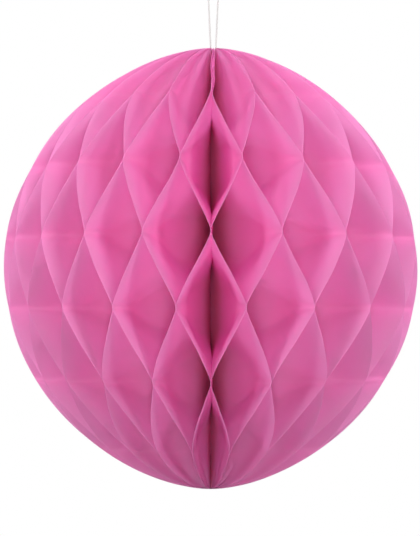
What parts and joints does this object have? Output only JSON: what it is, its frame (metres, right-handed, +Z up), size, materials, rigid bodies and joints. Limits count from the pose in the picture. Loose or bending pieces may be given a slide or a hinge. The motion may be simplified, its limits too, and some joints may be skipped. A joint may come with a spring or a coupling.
{
  "type": "honeycomb paper ball",
  "caption": "Hanging honeycomb ball of pink tissue paper: leaves glued in a diamond pattern, opened into a round ball and hung on a white thread loop.",
  "frame": {"origin": "middle of the ball, on its axis, half way up the spine", "axes": "+Z up along the spine to the hanging thread, -Y to the front, with the closing seam at the back"},
  "size_m": [0.1863, 0.1869, 0.2451],
  "materials": {
    "tissue_paper": "matt, thin and slightly see-through",
    "cover_card": "matt, pink all through",
    "closing_tape": "pale, sticky on both sides",
    "cotton_thread": "matt twisted thread"
  },
  "bodies": {
    "root": {"paper_leaf_01": "tissue_paper", "paper_leaf_02": "tissue_paper", "paper_leaf_03": "tissue_paper", "paper_leaf_04": "tissue_paper", "paper_leaf_05": "tissue_paper", "paper_leaf_06": "tissue_paper", "paper_leaf_07": "tissue_paper", "paper_leaf_08": "tissue_paper", "paper_leaf_09": "tissue_paper", "paper_leaf_10": "tissue_paper", "paper_leaf_11": "tissue_paper", "paper_leaf_12": "tissue_paper", "paper_leaf_13": "tissue_paper", "paper_leaf_14": "tissue_paper", "paper_leaf_15": "tissue_paper", "paper_leaf_16": "tissue_paper", "paper_leaf_17": "tissue_paper", "paper_leaf_18": "tissue_paper", "paper_leaf_19": "tissue_paper", "paper_leaf_20": "tissue_paper", "paper_leaf_21": "tissue_paper", "paper_leaf_22": "tissue_paper", "paper_leaf_23": "tissue_paper", "paper_leaf_24": "tissue_paper", "paper_leaf_25": "tissue_paper", "paper_leaf_26": "tissue_paper", "paper_leaf_27": "tissue_paper", "paper_leaf_28": "tissue_paper", "paper_leaf_29": "tissue_paper", "paper_leaf_30": "tissue_paper", "paper_leaf_31": "tissue_paper", "paper_leaf_32": "tissue_paper", "paper_leaf_33": "tissue_paper", "paper_leaf_34": "tissue_paper", "paper_leaf_35": "tissue_paper", "paper_leaf_36": "tissue_paper", "paper_leaf_37": "tissue_paper", "paper_leaf_38": "tissue_paper", "paper_leaf_39": "tissue_paper", "paper_leaf_40": "tissue_paper", "cover_card_left": "cover_card", "cover_card_right": "cover_card", "closing_tape_top": "closing_tape", "closing_tape_middle": "closing_tape", "closing_tape_bottom": "closing_tape", "hanging_thread": "cotton_thread", "thread_knot": "cotton_thread"}
  },
  "joints": []
}
